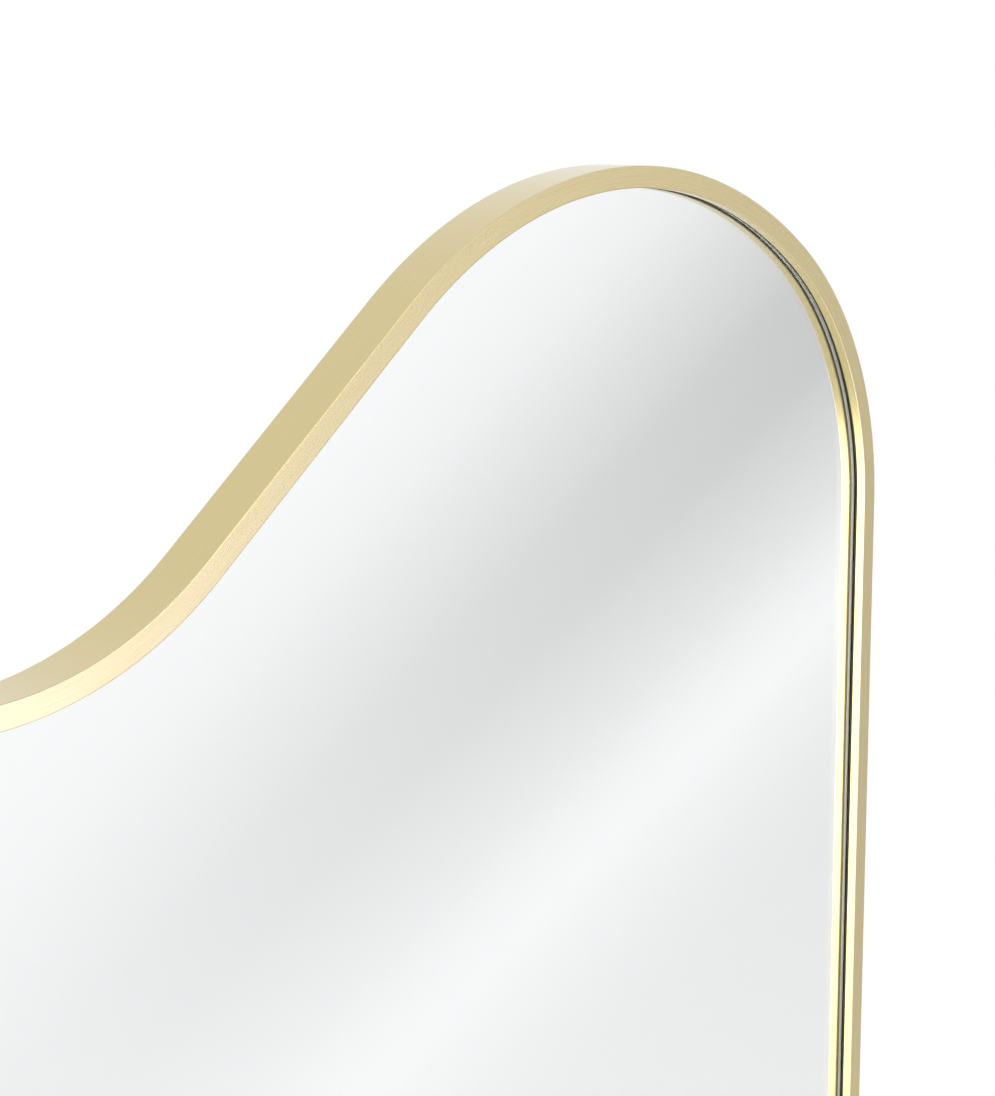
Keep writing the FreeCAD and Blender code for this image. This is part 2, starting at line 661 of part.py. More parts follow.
def make_ring(name, x, z, turn):
    """A D ring of round wire: a straight bar, two rounded corners and a half circle."""
    label = name + "_ring"
    rotation = ROTATION(VECTOR(0, 1, 0), turn)
    bow, corner = mm["ring_bow_radius"], mm["ring_corner_radius"]
    half_bar = bow - corner

    def put(obj, dx, dz, own):
        shift = rotation.multVec(VECTOR(dx, 0, dz))
        place(obj, x + shift.x, mm["ring_depth"], z + shift.z, rotation * own)

    bar = doc.addObject("Part::Cylinder", label + "_bar")
    bar.setExpression("Radius", "Sizes.ring_wire_radius")
    bar.setExpression("Height", "2 * (Sizes.ring_bow_radius - Sizes.ring_corner_radius)")
    put(bar, -half_bar, 0, ROTATION(VECTOR(0, 1, 0), 90))
    bends = [bar]
    for part, size, sweep, dx, first in (("bow", "bow", 180, 0, 0), ("right", "corner", 90, half_bar, -90),
                                         ("left", "corner", 90, -half_bar, 180)):
        bend = doc.addObject("Part::Torus", "%s_%s" % (label, part))
        bend.setExpression("Radius1", "Sizes.ring_%s_radius" % size)
        bend.setExpression("Radius2", "Sizes.ring_wire_radius")
        bend.Angle3 = sweep
        put(bend, dx, corner, OUT_OF_FACE * ROTATION(VECTOR(0, 0, 1), first))
        bends.append(bend)
    return join(label, bends)


# ---------------------------------------------------------------- the whole mirror

def build():
    """Every sub-part of the mirror, in the order in which it goes together."""
    outline = draw_outline()
    yield make_frame(outline)
    yield from make_joint()
    yield ring(outline, "glazing_tape", "Sizes.glass_inset + Sizes.tape_setback",
               "Sizes.face_width - Sizes.tape_setback", "Sizes.ledge_rear", "Sizes.glass_recess")
    yield plate(outline, "mirror_glass", "Sizes.glass_inset", "Sizes.glass_recess", "Sizes.glass_rear")
    yield make_edge_blocks(outline)
    yield ring(outline, "foam_border", "Sizes.glass_inset + Sizes.foam_setback",
               "Sizes.glass_inset + Sizes.foam_setback + Sizes.foam_width", "Sizes.glass_rear",
               "Sizes.foam_rear")
    yield plate(outline, "back_board", "Sizes.glass_inset", "Sizes.foam_rear", "Sizes.board_rear")
    yield make_spring_clips()

    hangers = hanger_places()
    all_strap_spots = [spot for _, x, z, turn in hangers for spot in strap_spots(x, z, turn)]
    for label, level in (("upper_rail", 1), ("lower_rail", -1)):
        spots = [spot for spot in all_strap_spots if spot[1] * level > 0]
        yield make_rail(label, level, spots)
    yield headed_screws("rail_screws", rail_screw_spots(), "lip_screw", "Sizes.frame_depth",
                        "Sizes.lip_front - Sizes.lip_screw_grip")
    yield make_rail_pads()
    for name, x, z, turn in hangers:
        yield make_strap(name, x, z, turn)
        yield make_ring(name, x, z, turn)
    yield headed_screws("hanger_screws", all_strap_spots, "strap_screw", "Sizes.strap_rear",
                        "Sizes.rail_front")
    yield make_bumpers()


def export(parts):
    """Checks every object and writes one STEP file for each sub-part."""
    failed = [obj.Name for obj in doc.Objects if "Invalid" in obj.State or "Error" in obj.State]
    if failed:
        raise RuntimeError("failed objects: %s" % ", ".join(failed))
    for part in parts:
        if part.Shape.isNull() or not part.Shape.isValid():
            raise RuntimeError("bad shape: %s" % part.Label)
    os.makedirs("parts", exist_ok=True)
    for part in parts:
        part.Shape.exportStep("parts/%s.step" % part.Label)
        box = part.Shape.BoundBox
        print("%-22s solids %2d  volume %12.1f  x %8.2f %8.2f  y %7.2f %7.2f  z %8.2f %8.2f" % (
            part.Label, len(part.Shape.Solids), part.Shape.Volume,
            box.XMin, box.XMax, box.YMin, box.YMax, box.ZMin, box.ZMax))


sub_parts = list(build())
doc.recompute()
export(sub_parts)
print("rail height %.2f, joint height %.2f" % (rail_height(), joint_height()))
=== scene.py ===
"""Looks of the irregular shaped wall mirror.

Metres and degrees. X runs to the right, Z up and Y from the mirror's face towards the wall.
Depths are counted from the front face towards the wall, insets from the outer edge inwards.
"""
import math
import bpy
import numpy as np
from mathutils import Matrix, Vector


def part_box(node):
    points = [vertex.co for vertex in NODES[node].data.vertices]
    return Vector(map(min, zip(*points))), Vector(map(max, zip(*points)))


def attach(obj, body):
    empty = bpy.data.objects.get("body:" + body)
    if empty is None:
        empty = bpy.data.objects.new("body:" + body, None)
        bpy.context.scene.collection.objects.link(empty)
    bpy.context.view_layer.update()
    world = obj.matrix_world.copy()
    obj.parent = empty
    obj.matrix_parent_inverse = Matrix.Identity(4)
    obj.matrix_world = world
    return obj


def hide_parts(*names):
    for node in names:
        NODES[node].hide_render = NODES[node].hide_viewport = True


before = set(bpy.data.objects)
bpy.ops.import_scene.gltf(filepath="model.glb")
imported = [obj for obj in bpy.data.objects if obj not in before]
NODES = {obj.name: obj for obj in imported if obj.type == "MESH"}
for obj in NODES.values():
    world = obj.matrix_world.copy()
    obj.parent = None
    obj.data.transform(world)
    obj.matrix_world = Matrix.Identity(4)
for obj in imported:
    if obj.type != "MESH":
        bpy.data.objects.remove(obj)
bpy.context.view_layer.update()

MM = 0.001
BODY = "mirror_body"
REARWARD = np.array([0.0, 1.0, 0.0])

# outline, as the frame is bent
CORNER_RADIUS, CORNER_TURN = 178 * MM, 55.5
CROWN_RADIUS = 275 * MM
SLOPE_ANGLE = 37.5
VALLEY_RADIUS = 198 * MM
SHOULDER_RADIUS = 150 * MM
BUTT_GAP = 0.2 * MM

# section of the frame
FACE_WIDTH = 11 * MM
FACE_THICKNESS = 5.3 * MM
WALL = 1.6 * MM
FRAME_DEPTH = 26 * MM
LIP_WIDTH, LIP_FRONT, LIP_REAR = 5 * MM, 22 * MM, 23.5 * MM
OUTER_EDGE_ROUND, INNER_EDGE_ROUND = 0.35 * MM, 0.4 * MM
LEDGE_ROUND = 0.8 * MM
FOLD_ROUND = 0.25 * MM

# tape between the frame's ledge and the glass
TAPE_INNER, TAPE_OUTER = 10.85 * MM, 7.1 * MM
TAPE_EDGE_ROUND = 0.1 * MM
# the bare margin before the film is painted shade of the slot between the ledge and the glass
PAINTED_SHADE_MARGIN = 1.1 * MM

# glass, its silver coat and the back board
GLASS_INSET = 7 * MM
GLASS_FRONT, GLASS_REAR = 6 * MM, 10 * MM
GLASS_EDGE_ROUND = 0.3 * MM
TAPE_GAP = 0.03 * MM
SILVER_THICKNESS = 0.06 * MM
SILVER_GAP = 0.02 * MM
SILVER_SETBACK = 0.2 * MM
SILVER_EDGE_ROUND = 0.01 * MM
BOARD_FRONT, BOARD_REAR = 12 * MM, 16 * MM
BOARD_EDGE_ROUND = 0.4 * MM

# cross rails: depths of the strip's middle line, and where it bends, from the middle of the rail
RAIL_WIDTH, RAIL_THICKNESS = 40 * MM, 2.5 * MM
RAIL_MIDDLE_DEPTH, RAIL_END_DEPTH = 19.75 * MM, 24.75 * MM
RAIL_BENDS = 378.36 * MM, 386.36 * MM
RAIL_BEND_ROUND = 3 * MM
RAIL_EDGE_ROUND = 0.45 * MM

# hangers: the ring's bar is at zero, with the ring on one side of it and the strap on the other
BAR_DEPTH = 23.58 * MM
WIRE_RADIUS, BOW_RADIUS, CORNER_BEND = 1.5 * MM, 12 * MM, 3 * MM
STRAP_WIDTH, STRAP_SHEET, STRAP_LENGTH = 15 * MM, 0.96 * MM, 35 * MM
STRAP_EDGE_ROUND = 0.2 * MM
EYE_RADIUS = 2.08 * MM
NECK_RADIUS = 1.5 * MM
LAYER_GAP = 1 * MM

BUMPER_RADIUS, BUMPER_ROUND = 4.6 * MM, 0.5 * MM

# fineness of the meshes
ARC_STEP = 1.0
LINE_POINTS, BAR_POINTS, LAYER_POINTS = 12, 5, 8
RING_THINNING, STRAP_THINNING = 4, 6
FILLET_STEPS, STRIP_FILLET_STEPS, TAPE_FILLET_STEPS, RAIL_BEND_STEPS = 4, 3, 2, 8
FILLET_SUPPORT, STRIP_SUPPORT, TAPE_SUPPORT = 0.15 * MM, 0.1 * MM, 0.05 * MM
RIM_POINTS, PLATE_RINGS, FLAT_STRIP = 5, 5, 0.3 * MM
WIRE_SIDES, BUMPER_SIDES, BUMPER_POINTS = 24, 48, 6
SAME_POINT, SAME_STRAP_POINT = 0.001 * MM, 0.02 * MM
SHARP_EDGE = 30
RIM_SLANT = 0.9

# sizes and places that the solids give
frame_low, frame_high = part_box("frame_profile")
HALF_WIDTH = (frame_high.x - frame_low.x) / 2
HALF_HEIGHT = (frame_high.z - frame_low.z) / 2
FRONT = frame_low.y
joint_low, joint_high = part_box("joint_plate")
JOINT_Z = (joint_low.z + joint_high.z) / 2


# ---------------------------------------------------------------- lines and sections

def arc_run(centre, radius, first, last, side=1):
    """Points on an arc and their normals.

    A point is the centre plus the radius times (cos, sin) of evenly spaced angles. A normal points
    away from the centre where side is 1 and towards it where side is -1.
    """
    count = max(2, round(abs(last - first) / ARC_STEP) + 1)
    angle = np.radians(np.linspace(first, last, count))
    ray = np.stack([np.cos(angle), np.sin(angle)], axis=1)
    return np.asarray(centre) + radius * ray, side * ray


def line_run(start, stop, count=LINE_POINTS):
    """Points on a straight line, evenly spaced, and the normal to its left."""
    start, stop = np.asarray(start, float), np.asarray(stop, float)
    share = np.linspace(0, 1, count)[:, None]
    along = (stop - start) / np.linalg.norm(stop - start)
    normal = np.array([-along[1], along[0]])
    return start + share * (stop - start), np.repeat(normal[None], count, axis=0)


def apart(points, least=SAME_POINT, closed=False):
    """Which points of a line lie further than a least distance from their neighbour.

    The neighbour is the point before, or in a closed line the point after.
    """
    if closed:
        steps = np.diff(points, axis=0, append=points[:1])
    else:
        far_before_first = points[:1] + 1
        steps = np.diff(points, axis=0, prepend=far_before_first)
    return np.linalg.norm(steps, axis=1) > least


def outline_runs():
    """The upper half of the outline: straight side, corner, crown, slope, valley and shoulder.

    Each arc touches its neighbours. The slope takes up the width that the arcs leave.
    """
    turn, slope = math.radians(CORNER_TURN), math.radians(SLOPE_ANGLE)
    crown_z = HALF_HEIGHT - CROWN_RADIUS
    step = CROWN_RADIUS - CORNER_RADIUS
    corner = np.array([HALF_WIDTH - CORNER_RADIUS, crown_z + step * math.sin(turn)])
    crown = corner - step * np.array([math.cos(turn), math.sin(turn)])
    slope_top = crown + CROWN_RADIUS * np.array([-math.sin(slope), math.cos(slope)])
    valley_x = SHOULDER_RADIUS - HALF_WIDTH
    foot_x = valley_x + VALLEY_RADIUS * math.sin(slope)
    foot_z = slope_top[1] - (slope_top[0] - foot_x) * math.tan(slope)
    valley = np.array([valley_x, foot_z + VALLEY_RADIUS * math.cos(slope)])
    shoulder = valley - np.array([0, VALLEY_RADIUS + SHOULDER_RADIUS])
    return [
        line_run((HALF_WIDTH, -shoulder[1]), (HALF_WIDTH, corner[1])),
        arc_run(corner, CORNER_RADIUS, 0, CORNER_TURN, -1),
        arc_run(crown, CROWN_RADIUS, CORNER_TURN, 90 + SLOPE_ANGLE, -1),
        line_run(slope_top, (foot_x, foot_z)),
        arc_run(valley, VALLEY_RADIUS, SLOPE_ANGLE - 90, -90, 1),
        arc_run(shoulder, SHOULDER_RADIUS, 90, 180, -1),
    ]


def whole_outline():
    """The outline once round from the butt joint, as points and inward normals with no point twice.

    The lower half is the upper half turned by 180 degrees, which is both with their signs changed.
    """
    upper = outline_runs()
    lower = [(-points, -normals) for points, normals in upper]
    side_points, _ = lower[0]
    below = line_run((-HALF_WIDTH, JOINT_Z - BUTT_GAP / 2), side_points[-1])
    above = line_run(side_points[0], (-HALF_WIDTH, JOINT_Z + BUTT_GAP / 2))
    runs = [below] + lower[1:] + upper + [above]
    points = np.concatenate([run[0] for run in runs])
    normals = np.concatenate([run[1] for run in runs])
    kept = apart(points)
    return points[kept], normals[kept]


def filleted(corners, radii, steps=FILLET_STEPS, closed=True, support=FILLET_SUPPORT):
    """A line through corners, each rounded by its radius.

    A fillet is an arc that touches both sides of its corner. One more point on each side, just
    outside the arc, keeps the flat faces flat in shading.
    """
    corners = np.asarray(corners, float)
    radii = np.broadcast_to(radii, len(corners))
    line = []
    for i, corner in enumerate(corners):
        if not closed and i in (0, len(corners) - 1):
            line.append(corner[None])
            continue
        back, ahead = corners[i - 1] - corner, corners[(i + 1) % len(corners)] - corner
        back, ahead = back / np.linalg.norm(back), ahead / np.linalg.norm(ahead)
        half = math.acos(np.clip(back @ ahead, -1, 1)) / 2
        reach = radii[i] / math.tan(half)
        middle = corner + (back + ahead) / np.linalg.norm(back + ahead) * radii[i] / math.sin(half)
        start, stop = corner + back * reach - middle, corner + ahead * reach - middle
        sweep = math.pi - 2 * half
        share = np.linspace(0, 1, steps + 1)[:, None]
        arc = (np.sin((1 - share) * sweep) * start + np.sin(share * sweep) * stop) / math.sin(sweep)
        before, after = middle + start + back * support, middle + stop + ahead * support
        line += [before[None], middle + arc, after[None]]
    return np.concatenate(line)


def bar_section(width, thickness, rounding):
    """A rectangle about zero with rounded corners."""
    w, h = width / 2, thickness / 2
    corners = [(-w, -h), (w, -h), (w, h), (-w, h)]
    return filleted(corners, rounding, STRIP_FILLET_STEPS, support=STRIP_SUPPORT)


def round_section(radius):
    """A circle about zero: radius times (cos, sin) of evenly spaced angles."""
    angle = np.arange(WIRE_SIDES) * 2 * math.pi / WIRE_SIDES
    return radius * np.stack([np.cos(angle), np.sin(angle)], axis=1)


def headings(points, closed):
    """Unit direction at each point of a line, from the point before to the point after."""
    if closed:
        along = np.roll(points, -1, axis=0) - np.roll(points, 1, axis=0)
    else:
        along = np.gradient(points, axis=0)
    return along / np.linalg.norm(along, axis=1, keepdims=True)


# ---------------------------------------------------------------- meshes

def finished(name, points, faces, uv=None, body=BODY):
    """A named piece from points and faces, smooth but for its sharp edges, riding on a body."""
    mesh = bpy.data.meshes.new(name)
    mesh.from_pydata(points.tolist(), [], faces)
    if uv is not None:
        layer = mesh.uv_layers.new(name="along_and_round")
        layer.data.foreach_set("uv", uv.astype(np.float32).ravel())
    mesh.shade_smooth()
    mesh.set_sharp_from_angle(angle=math.radians(SHARP_EDGE))
    mesh.validate()
    piece = bpy.data.objects.new(name, mesh)
    bpy.context.scene.collection.objects.link(piece)
    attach(piece, body)
    return piece


def grid_faces(rows, columns, wrap_rows, wrap_columns):
    """Quads between neighbouring rows and columns of a grid of points."""
    row = np.arange(rows if wrap_rows else rows - 1)
    column = np.arange(columns if wrap_columns else columns - 1)
    i, j = [a.ravel() for a in np.meshgrid(row, column, indexing="ij")]
    i2, j2 = (i + 1) % rows, (j + 1) % columns
    return np.stack([i * columns + j, i2 * columns + j, i2 * columns + j2, i * columns + j2], axis=1)


def outward(points, quads):
    """True if quads round a closed line face outwards, by the sign of the volume that they hold."""
    spread = points - points.mean(axis=0)
    a, b, c, d = (spread[quads[:, corner]] for corner in range(4))
    return np.sum(a * (np.cross(b, c) + np.cross(c, d))) > 0


def carried(name, section, centre, across, upright, closed=False, body=BODY):
    """A closed section carried along a line.

    A point is the line's point, plus the section's first number times the across direction, plus
    its second number times the upright direction. Open lines get a flat cap at each end.
    The UV map is the length along the line and the length round the section, in metres.
    """
    points = (centre[:, None] + section[None, :, :1] * across[:, None]
              + section[None, :, 1:] * upright[:, None])
    rows, columns = points.shape[:2]
    quads = grid_faces(rows, columns, closed, True)
    flip = not outward(points.reshape(-1, 3), quads)
    quads = quads[:, ::-1] if flip else quads
    step = np.linalg.norm(np.diff(centre, axis=0, append=centre[:1]), axis=1)
    along = np.concatenate([[0], np.cumsum(step)])
    girth = np.linalg.norm(np.diff(section, axis=0, append=section[:1]), axis=1)
    around = np.concatenate([[0], np.cumsum(girth)])
    i, j = quads // columns, quads % columns
    last_row = (i == 0) & (i.max(axis=1, keepdims=True) == rows - 1)
    last_column = (j == 0) & (j.max(axis=1, keepdims=True) == columns - 1)
    u = along[np.where(last_row, rows, i)]
    v = around[np.where(last_column, columns, j)]
    uv = np.stack([u, v], axis=2).reshape(-1, 2)
    faces = quads.tolist()
    if not closed:
        first, last = np.arange(columns), np.arange(columns) + (rows - 1) * columns
        caps = (first[::-1], last) if flip else (first, last[::-1])
        for cap, reach in zip(caps, (0, along[rows - 1])):
            faces.append(cap.tolist())
            uv = np.concatenate([uv, section[cap % columns] + np.array([reach, 0])])
    return finished(name, points.reshape(-1, 3), faces, uv, body)


def bent_strip(name, path, section, place, side, run):
    """A section carried along an open path that lies in one plane.

    A path point (r, y) lies at the place plus r times the run direction plus y times Y. The
    section's first number counts along the side direction, its second at right angles to the path.
    """
    side, run = np.asarray(side, float), np.asarray(run, float)
    centre = np.asarray(place) + path[:, :1] * run + path[:, 1:] * REARWARD
    ahead = headings(path, closed=False)
    upright = -ahead[:, 1:] * run + ahead[:, :1] * REARWARD
    return carried(name, section, centre, np.broadcast_to(side, centre.shape), upright)


def flat_plate(name, points, normals, inset, front, rear, rounding):
    """A plate with the frame's outline: its rim is a rounded section carried round the outline.

    Next to the rim both faces have a narrow flat strip, so that shading bends only at the rim.
    From there they are the outline drawn in towards the middle by even shares, down to a point.
    """
    turn = np.radians(np.linspace(0, 90, RIM_POINTS))
    bend_in, bend_out = rounding * np.sin(turn), rounding * np.cos(turn)
    rim_inset = inset + rounding - np.concatenate([bend_in, bend_out])
    rim_depth = np.concatenate([front + rounding - bend_out, rear - rounding + bend_in])
    inner = np.full(PLATE_RINGS, inset + rounding + FLAT_STRIP)
    drawn = np.concatenate([inner, rim_inset, inner])
    depth = np.concatenate([np.full(PLATE_RINGS, front), rim_depth, np.full(PLATE_RINGS, rear)])
    share = np.arange(PLATE_RINGS) / PLATE_RINGS
    scale = 1 - np.concatenate([share[::-1], np.zeros(len(rim_inset)), share])
    flat = (points[:, None] + normals[:, None] * drawn[None, :, None]) * scale[None, :, None]
    levels = np.broadcast_to(FRONT + depth, flat.shape[:2])
    grid = np.stack([flat[..., 0], levels, flat[..., 1]], axis=2)
    rows, columns = grid.shape[:2]
    middles = [[0, FRONT + front, 0], [0, FRONT + rear, 0]]
    here = np.arange(rows) * columns
    ahead = np.roll(here, -1)
    middle = np.full(rows, rows * columns)
    faces = grid_faces(rows, columns, True, False)[:, ::-1].tolist()
    faces += np.stack([middle, here, ahead], axis=1).tolist()
    faces += np.stack([middle + 1, ahead + columns - 1, here + columns - 1], axis=1).tolist()
    return finished(name, np.concatenate([grid.reshape(-1, 3), middles]), faces)


# ---------------------------------------------------------------- finishes

# nearly all of a noise lies between these two values
NOISE_LOW, NOISE_HIGH = 0.3, 0.7


class Wiring:
    """Short words for the nodes of a material or a world."""

    def __init__(self, tree):
        self.nodes = tree.nodes
        self.links = tree.links

    def node(self, kind, **settings):
        """A new node with values for its sockets or its own settings."""
        made = self.nodes.new(kind)
        for key, value in settings.items():
            if key in made.inputs:
                made.inputs[key].default_value = value
            else:
                setattr(made, key, value)
        return made

    def join(self, source, target):
        """Links a node's output to another node's socket."""
        self.links.new(source, target)

    def maths(self, operation, *values):
        """A sum of numbers and other nodes' outputs."""
        made = self.node("ShaderNodeMath", operation=operation)
        for socket, value in zip(made.inputs, values):
            if isinstance(value, bpy.types.NodeSocket):
                self.join(value, socket)
            else:
                socket.default_value = value
        return made.outputs["Value"]

    def spread(self, value, low, high, start=NOISE_LOW, stop=NOISE_HIGH, kind="LINEAR"):
        """A value between start and stop, mapped onto low to high."""
        made = self.node("ShaderNodeMapRange", interpolation_type=kind)
        for key, number in (("From Min", start), ("From Max", stop), ("To Min", low), ("To Max", high)):
            made.inputs[key].default_value = number
        self.join(value, made.inputs["Value"])
        return made.outputs["Result"]

    def blend(self, share, first, second):
        """A mix of two colours, each a colour or another node's output."""
        made = self.node("ShaderNodeMix", data_type="RGBA")
        self.join(share, made.inputs["Factor"])
        for source, target in ((first, made.inputs["A"]), (second, made.inputs["B"])):
            if isinstance(source, tuple):
                target.default_value = (*source, 1)
            else:
                self.join(source, target)
        return made.outputs["Result"]


class Finish(Wiring):
    """A material with its shader, and short words for patterns."""

    def __init__(self, name):
        self.material = bpy.data.materials.new(name)
        self.material.use_nodes = True
        super().__init__(self.material.node_tree)
        self.shader = self.nodes["Principled BSDF"]

    def place(self, stretch=(1, 1, 1), output="Object"):
        """Object or UV coordinates, stretched along each axis."""
        coordinates = self.node("ShaderNodeTexCoord")
        mapping = self.node("ShaderNodeMapping", Scale=stretch)
        self.join(coordinates.outputs[output], mapping.inputs["Vector"])
        return mapping.outputs["Vector"]

    def part(self, vector, axis):
        """One axis of a vector."""
        made = self.node("ShaderNodeSeparateXYZ")
        self.join(vector, made.inputs["Vector"])
        return made.outputs[axis]

    def noise(self, where, scale, detail=3, roughness=0.5):
        """A soft noise, with scale as its features per unit of the coordinates."""
        made = self.node("ShaderNodeTexNoise", Scale=scale, Detail=detail, Roughness=roughness)
        self.join(where, made.inputs["Vector"])
        return made.outputs["Fac"]

    def tones(self, value, *colours, start=NOISE_LOW, stop=NOISE_HIGH):
        """Colours at even steps of a value from start to stop, blended in between."""
        ramp = self.node("ShaderNodeValToRGB")
        elements = ramp.color_ramp.elements
        while len(elements) < len(colours):
            elements.new(0.5)
        for element, share, colour in zip(elements, np.linspace(start, stop, len(colours)), colours):
            element.position = share
            element.color = (*colour, 1)
        self.join(value, ramp.inputs["Fac"])
        return ramp.outputs["Color"]

    def relief(self, value, depth, strength=1.0):
        """Bumps as deep as the value times a depth."""
        bump = self.node("ShaderNodeBump", Distance=depth, Strength=strength)
        self.join(value, bump.inputs["Height"])
        self.join(bump.outputs["Normal"], self.shader.inputs["Normal"])

    def set(self, **values):
        """Sets sockets of the shader: a number, a colour or another node's output."""
        for key, value in values.items():
            socket = self.shader.inputs[key.replace("_", " ")]
            if isinstance(value, bpy.types.NodeSocket):
                self.join(value, socket)
            elif isinstance(value, tuple):
                socket.default_value = (*value, 1)
            else:
                socket.default_value = value


def pale_gold():
    """Satin pale gold: fine brush lines run along the bent profile, under faint broad clouds."""
    finish = Finish("pale_gold_satin")
    deep, light, cloudy = (0.58, 0.465, 0.18), (0.64, 0.525, 0.225), (0.585, 0.48, 0.20)
    lines_along_and_across = (18, 5200, 1)
    lines = finish.noise(finish.place(lines_along_and_across, "UV"), scale=1.0, detail=4, roughness=0.6)
    cloud = finish.noise(finish.place(), scale=9.0, detail=2)
    grain = finish.tones(lines, deep, light)
    tone = finish.blend(finish.spread(cloud, low=0.0, high=0.25), grain, cloudy)
    finish.set(Base_Color=tone, Metallic=1.0, Roughness=finish.spread(lines, low=0.25, high=0.33),
               Coat_Weight=0.9, Coat_Roughness=0.26, Coat_IOR=1.75)
    finish.relief(lines, depth=0.0025 * MM)
    return finish.material


def clear_glass():
    """Clear float glass, faintly green, with slow waves of its tint."""
    finish = Finish("float_glass")
    wave = finish.noise(finish.place(), scale=2.5, detail=0)
    tint = finish.tones(wave, (0.989, 0.993, 0.992), (0.993, 0.996, 0.995))
    finish.set(Base_Color=tint, Roughness=0.0, IOR=1.52, Transmission_Weight=1.0)
    return finish.material


def rim_seal_and_gap_shade():
    """Dark sealing paint on the ground edge of the mirror, and painted shade: its dark also stands in
    for the shadow in the gap between the frame and the glass.
    """
    finish = Finish("rim_seal_and_gap_shade")
    brush = finish.noise(finish.place(), scale=700, detail=3)
    tone = finish.tones(brush, (0.036, 0.037, 0.029), (0.056, 0.057, 0.044))
    finish.set(Base_Color=tone, Roughness=finish.spread(brush, low=0.55, high=0.7))
    return finish.material


def silver():
    """Bright silver coat behind the glass."""
    finish = Finish("silver_coat")
    cloud = finish.noise(finish.place(), scale=1.6, detail=1)
    tone = finish.tones(cloud, (0.966, 0.967, 0.974), (0.974, 0.975, 0.982))
    finish.set(Base_Color=tone, Metallic=1.0, Roughness=0.0)
    return finish.material


def fibreboard():
    """Brown fibreboard: pressed fibres, darker and paler, under a slightly even haze."""
    finish = Finish("fibreboard")
    dark, middle, pale = (0.235, 0.135, 0.068), (0.33, 0.205, 0.11), (0.43, 0.29, 0.17)
    hazy = (0.36, 0.235, 0.135)
    fibres_per_metre = (420, 420, 1500)
    fibres = finish.noise(finish.place(fibres_per_metre), scale=1.0, detail=5, roughness=0.7)
    haze = finish.noise(finish.place(), scale=7.0, detail=4)
    tone = finish.blend(finish.spread(haze, low=0.0, high=0.55),
                        finish.tones(fibres, dark, middle, pale), hazy)
    finish.set(Base_Color=tone, Roughness=finish.spread(haze, low=0.62, high=0.8))
    finish.relief(fibres, depth=0.08 * MM, strength=0.7)
    return finish.material


def plain_steel(name, tone, roughness):
    """Plated or bare steel with a fine cloudy grain and patches a little darker and lighter."""
    finish = Finish(name)
    grain = finish.noise(finish.place(), scale=900, detail=4)
    patch = finish.noise(finish.place(), scale=60, detail=2)
    dark = tuple(0.82 * part for part in tone)
    light = tuple(1.12 * part for part in tone)
    finish.set(Base_Color=finish.tones(patch, dark, light, start=0.35, stop=0.65), Metallic=1.0,
               Roughness=finish.spread(grain, low=roughness * 0.8, high=roughness * 1.25))
    finish.relief(grain, depth=0.01 * MM)
    return finish.material


def powder_coat():
    """Dark powder coat with a fine orange-peel skin."""
    finish = Finish("powder_coat")
    peel = finish.noise(finish.place(), scale=1400, detail=2)
    dust = finish.noise(finish.place(), scale=40, detail=5)
    tone = finish.tones(dust, (0.018, 0.018, 0.019), (0.036, 0.035, 0.034), stop=0.75)
    finish.set(Base_Color=tone, Roughness=finish.spread(peel, low=0.38, high=0.55))
    finish.relief(peel, depth=0.04 * MM, strength=0.6)
    return finish.material


def soft_skin(name, tone, roughness):
    """Rubber or foam with a dusty, slightly porous skin."""
    finish = Finish(name)
    pores = finish.noise(finish.place(), scale=1600, detail=3)
    dust = finish.noise(finish.place(), scale=50, detail=4)
    dusty = tuple(part + 0.02 for part in tone)
    finish.set(Base_Color=finish.tones(dust, tone, dusty, start=0.35, stop=0.75),
               Roughness=finish.spread(pores, low=roughness - 0.1, high=roughness + 0.08))
    finish.relief(pores, depth=0.05 * MM, strength=0.7)
    return finish.material


def milky_rubber():
    """Soft milky rubber that lets some light in."""
    finish = Finish("milky_rubber")
    haze = finish.noise(finish.place(), scale=300, detail=3)
    finish.set(Base_Color=finish.tones(haze, (0.70, 0.71, 0.69), (0.80, 0.81, 0.79)),
               Roughness=finish.spread(haze, low=0.35, high=0.5), Transmission_Weight=0.35)
    return finish.material


def glazing_tape():
    """Black foam tape with a pale film on its rear face that ends a little before the inner edge.

    The film's share is the normal's Y squared. It is nothing where the length round the section,
    which counts from the outer edge over the front face to the rear one, is short of the film.
    The black that this leaves on the front face, the inner edge and a margin of the rear face is
    painted shade: it stands in for the shadow in the slot between the ledge and the glass.
    """
    finish = Finish("glazing_tape")
    facing = finish.part(finish.node("ShaderNodeNewGeometry").outputs["Normal"], "Y")
    around = finish.part(finish.place(output="UV"), "Y")
    rear_start = (TAPE_INNER - TAPE_OUTER) + (GLASS_FRONT - FACE_THICKNESS)
    filmed = finish.maths("GREATER_THAN", around, rear_start + PAINTED_SHADE_MARGIN)
    share = finish.maths("MULTIPLY", finish.maths("MULTIPLY", facing, facing), filmed)
    specks = finish.noise(finish.place(), scale=2000, detail=2)
    film = finish.tones(specks, (0.90, 0.89, 0.81), (0.95, 0.94, 0.87))
    # black foam, and painted shade: on the front face, inner edge and margin it stands in for the
    # slot's shadow
    core_and_painted_shade = finish.tones(specks, (0.026, 0.027, 0.019), (0.042, 0.043, 0.031))
    finish.set(Base_Color=finish.blend(share, core_and_painted_shade, film), Roughness=0.75, Specular_IOR_Level=0.15)
    return finish.material


# ---------------------------------------------------------------- pieces of the mirror

def give(piece, material, node):
    """Finish, material slot and the node that a new piece stands for."""
    piece.data.materials.clear()
    piece.data.materials.append(material)
    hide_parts(node)


